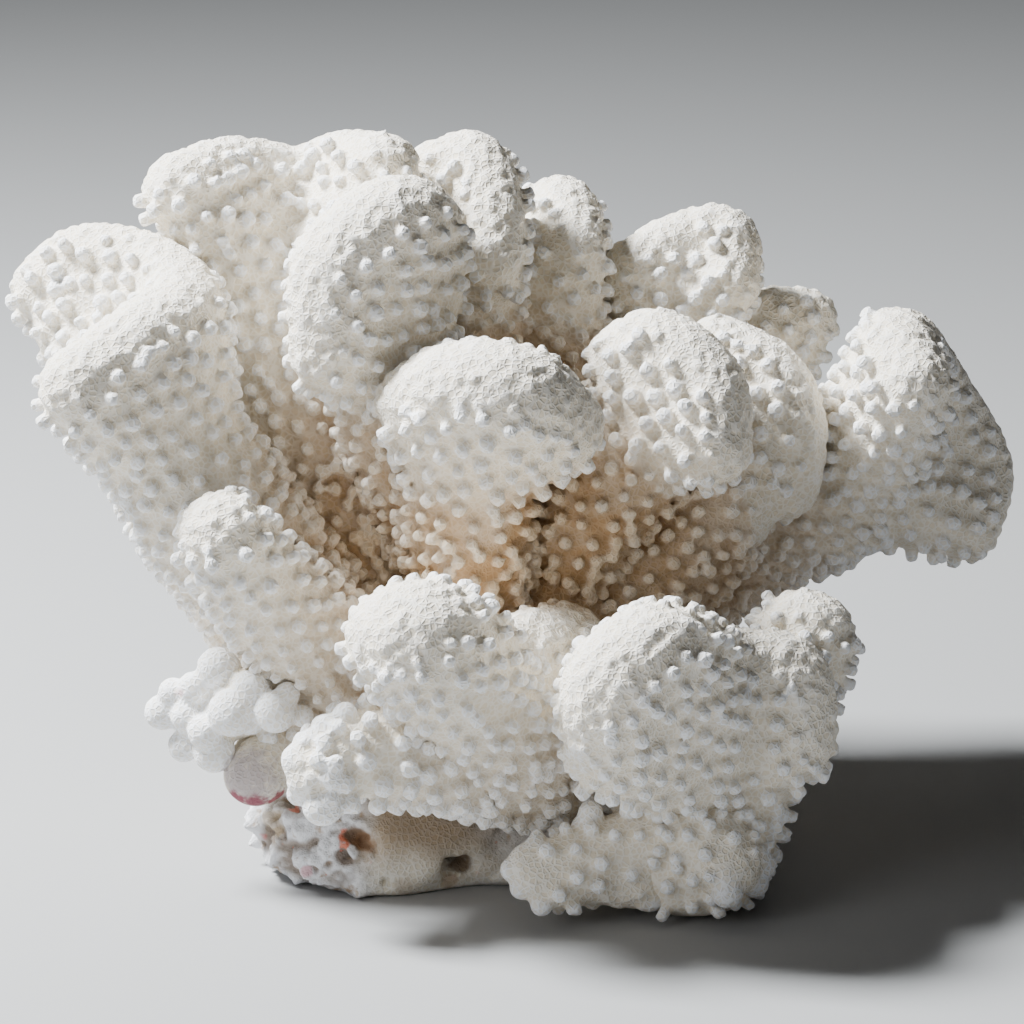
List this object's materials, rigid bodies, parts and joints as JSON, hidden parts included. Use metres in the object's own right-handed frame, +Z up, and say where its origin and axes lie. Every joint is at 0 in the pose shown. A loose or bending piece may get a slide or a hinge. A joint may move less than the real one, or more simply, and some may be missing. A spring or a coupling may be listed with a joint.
{
  "type": "cats paw coral colony",
  "caption": "Dry bleached colony of branching stony coral with thick paw-like lobes covered in small knobs, cut off flat at its dead base and resting on the cut.",
  "frame": {"origin": "a point near the middle of the flat cut face under the dead base", "axes": "+X to the viewer's right along the colony's longest extent, +Y away from the viewer, +Z up out of the cut face"},
  "size_m": [0.2098, 0.1508, 0.1504],
  "materials": {
    "coral_skeleton": "matt, porous, cream-white with tan hollows",
    "dead_base": "matt, chalky, pitted, with red and brown stains"
  },
  "bodies": {
    "root": {"holdfast": "dead_base", "trunk": "coral_skeleton", "left_fan": "coral_skeleton", "back_left_fan": "coral_skeleton", "upper_hook": "coral_skeleton", "top_finger": "coral_skeleton", "mid_blade": "coral_skeleton", "rear_right_fan": "coral_skeleton", "rear_right_knob": "coral_skeleton", "right_saddle": "coral_skeleton", "centre_club": "coral_skeleton", "right_club": "coral_skeleton", "right_blade": "coral_skeleton", "front_left_club": "coral_skeleton", "front_ridge": "coral_skeleton", "front_right_saddle": "coral_skeleton", "front_right_knob": "coral_skeleton", "low_finger": "coral_skeleton", "left_bulbs": "coral_skeleton", "left_knee": "coral_skeleton", "front_foot": "coral_skeleton", "right_foot": "coral_skeleton", "back_left_club": "coral_skeleton", "back_centre_club": "coral_skeleton", "back_right_club": "coral_skeleton", "back_low_left_knob": "coral_skeleton", "back_low_centre_knob": "coral_skeleton", "back_low_right_knob": "coral_skeleton"}
  },
  "joints": []
}
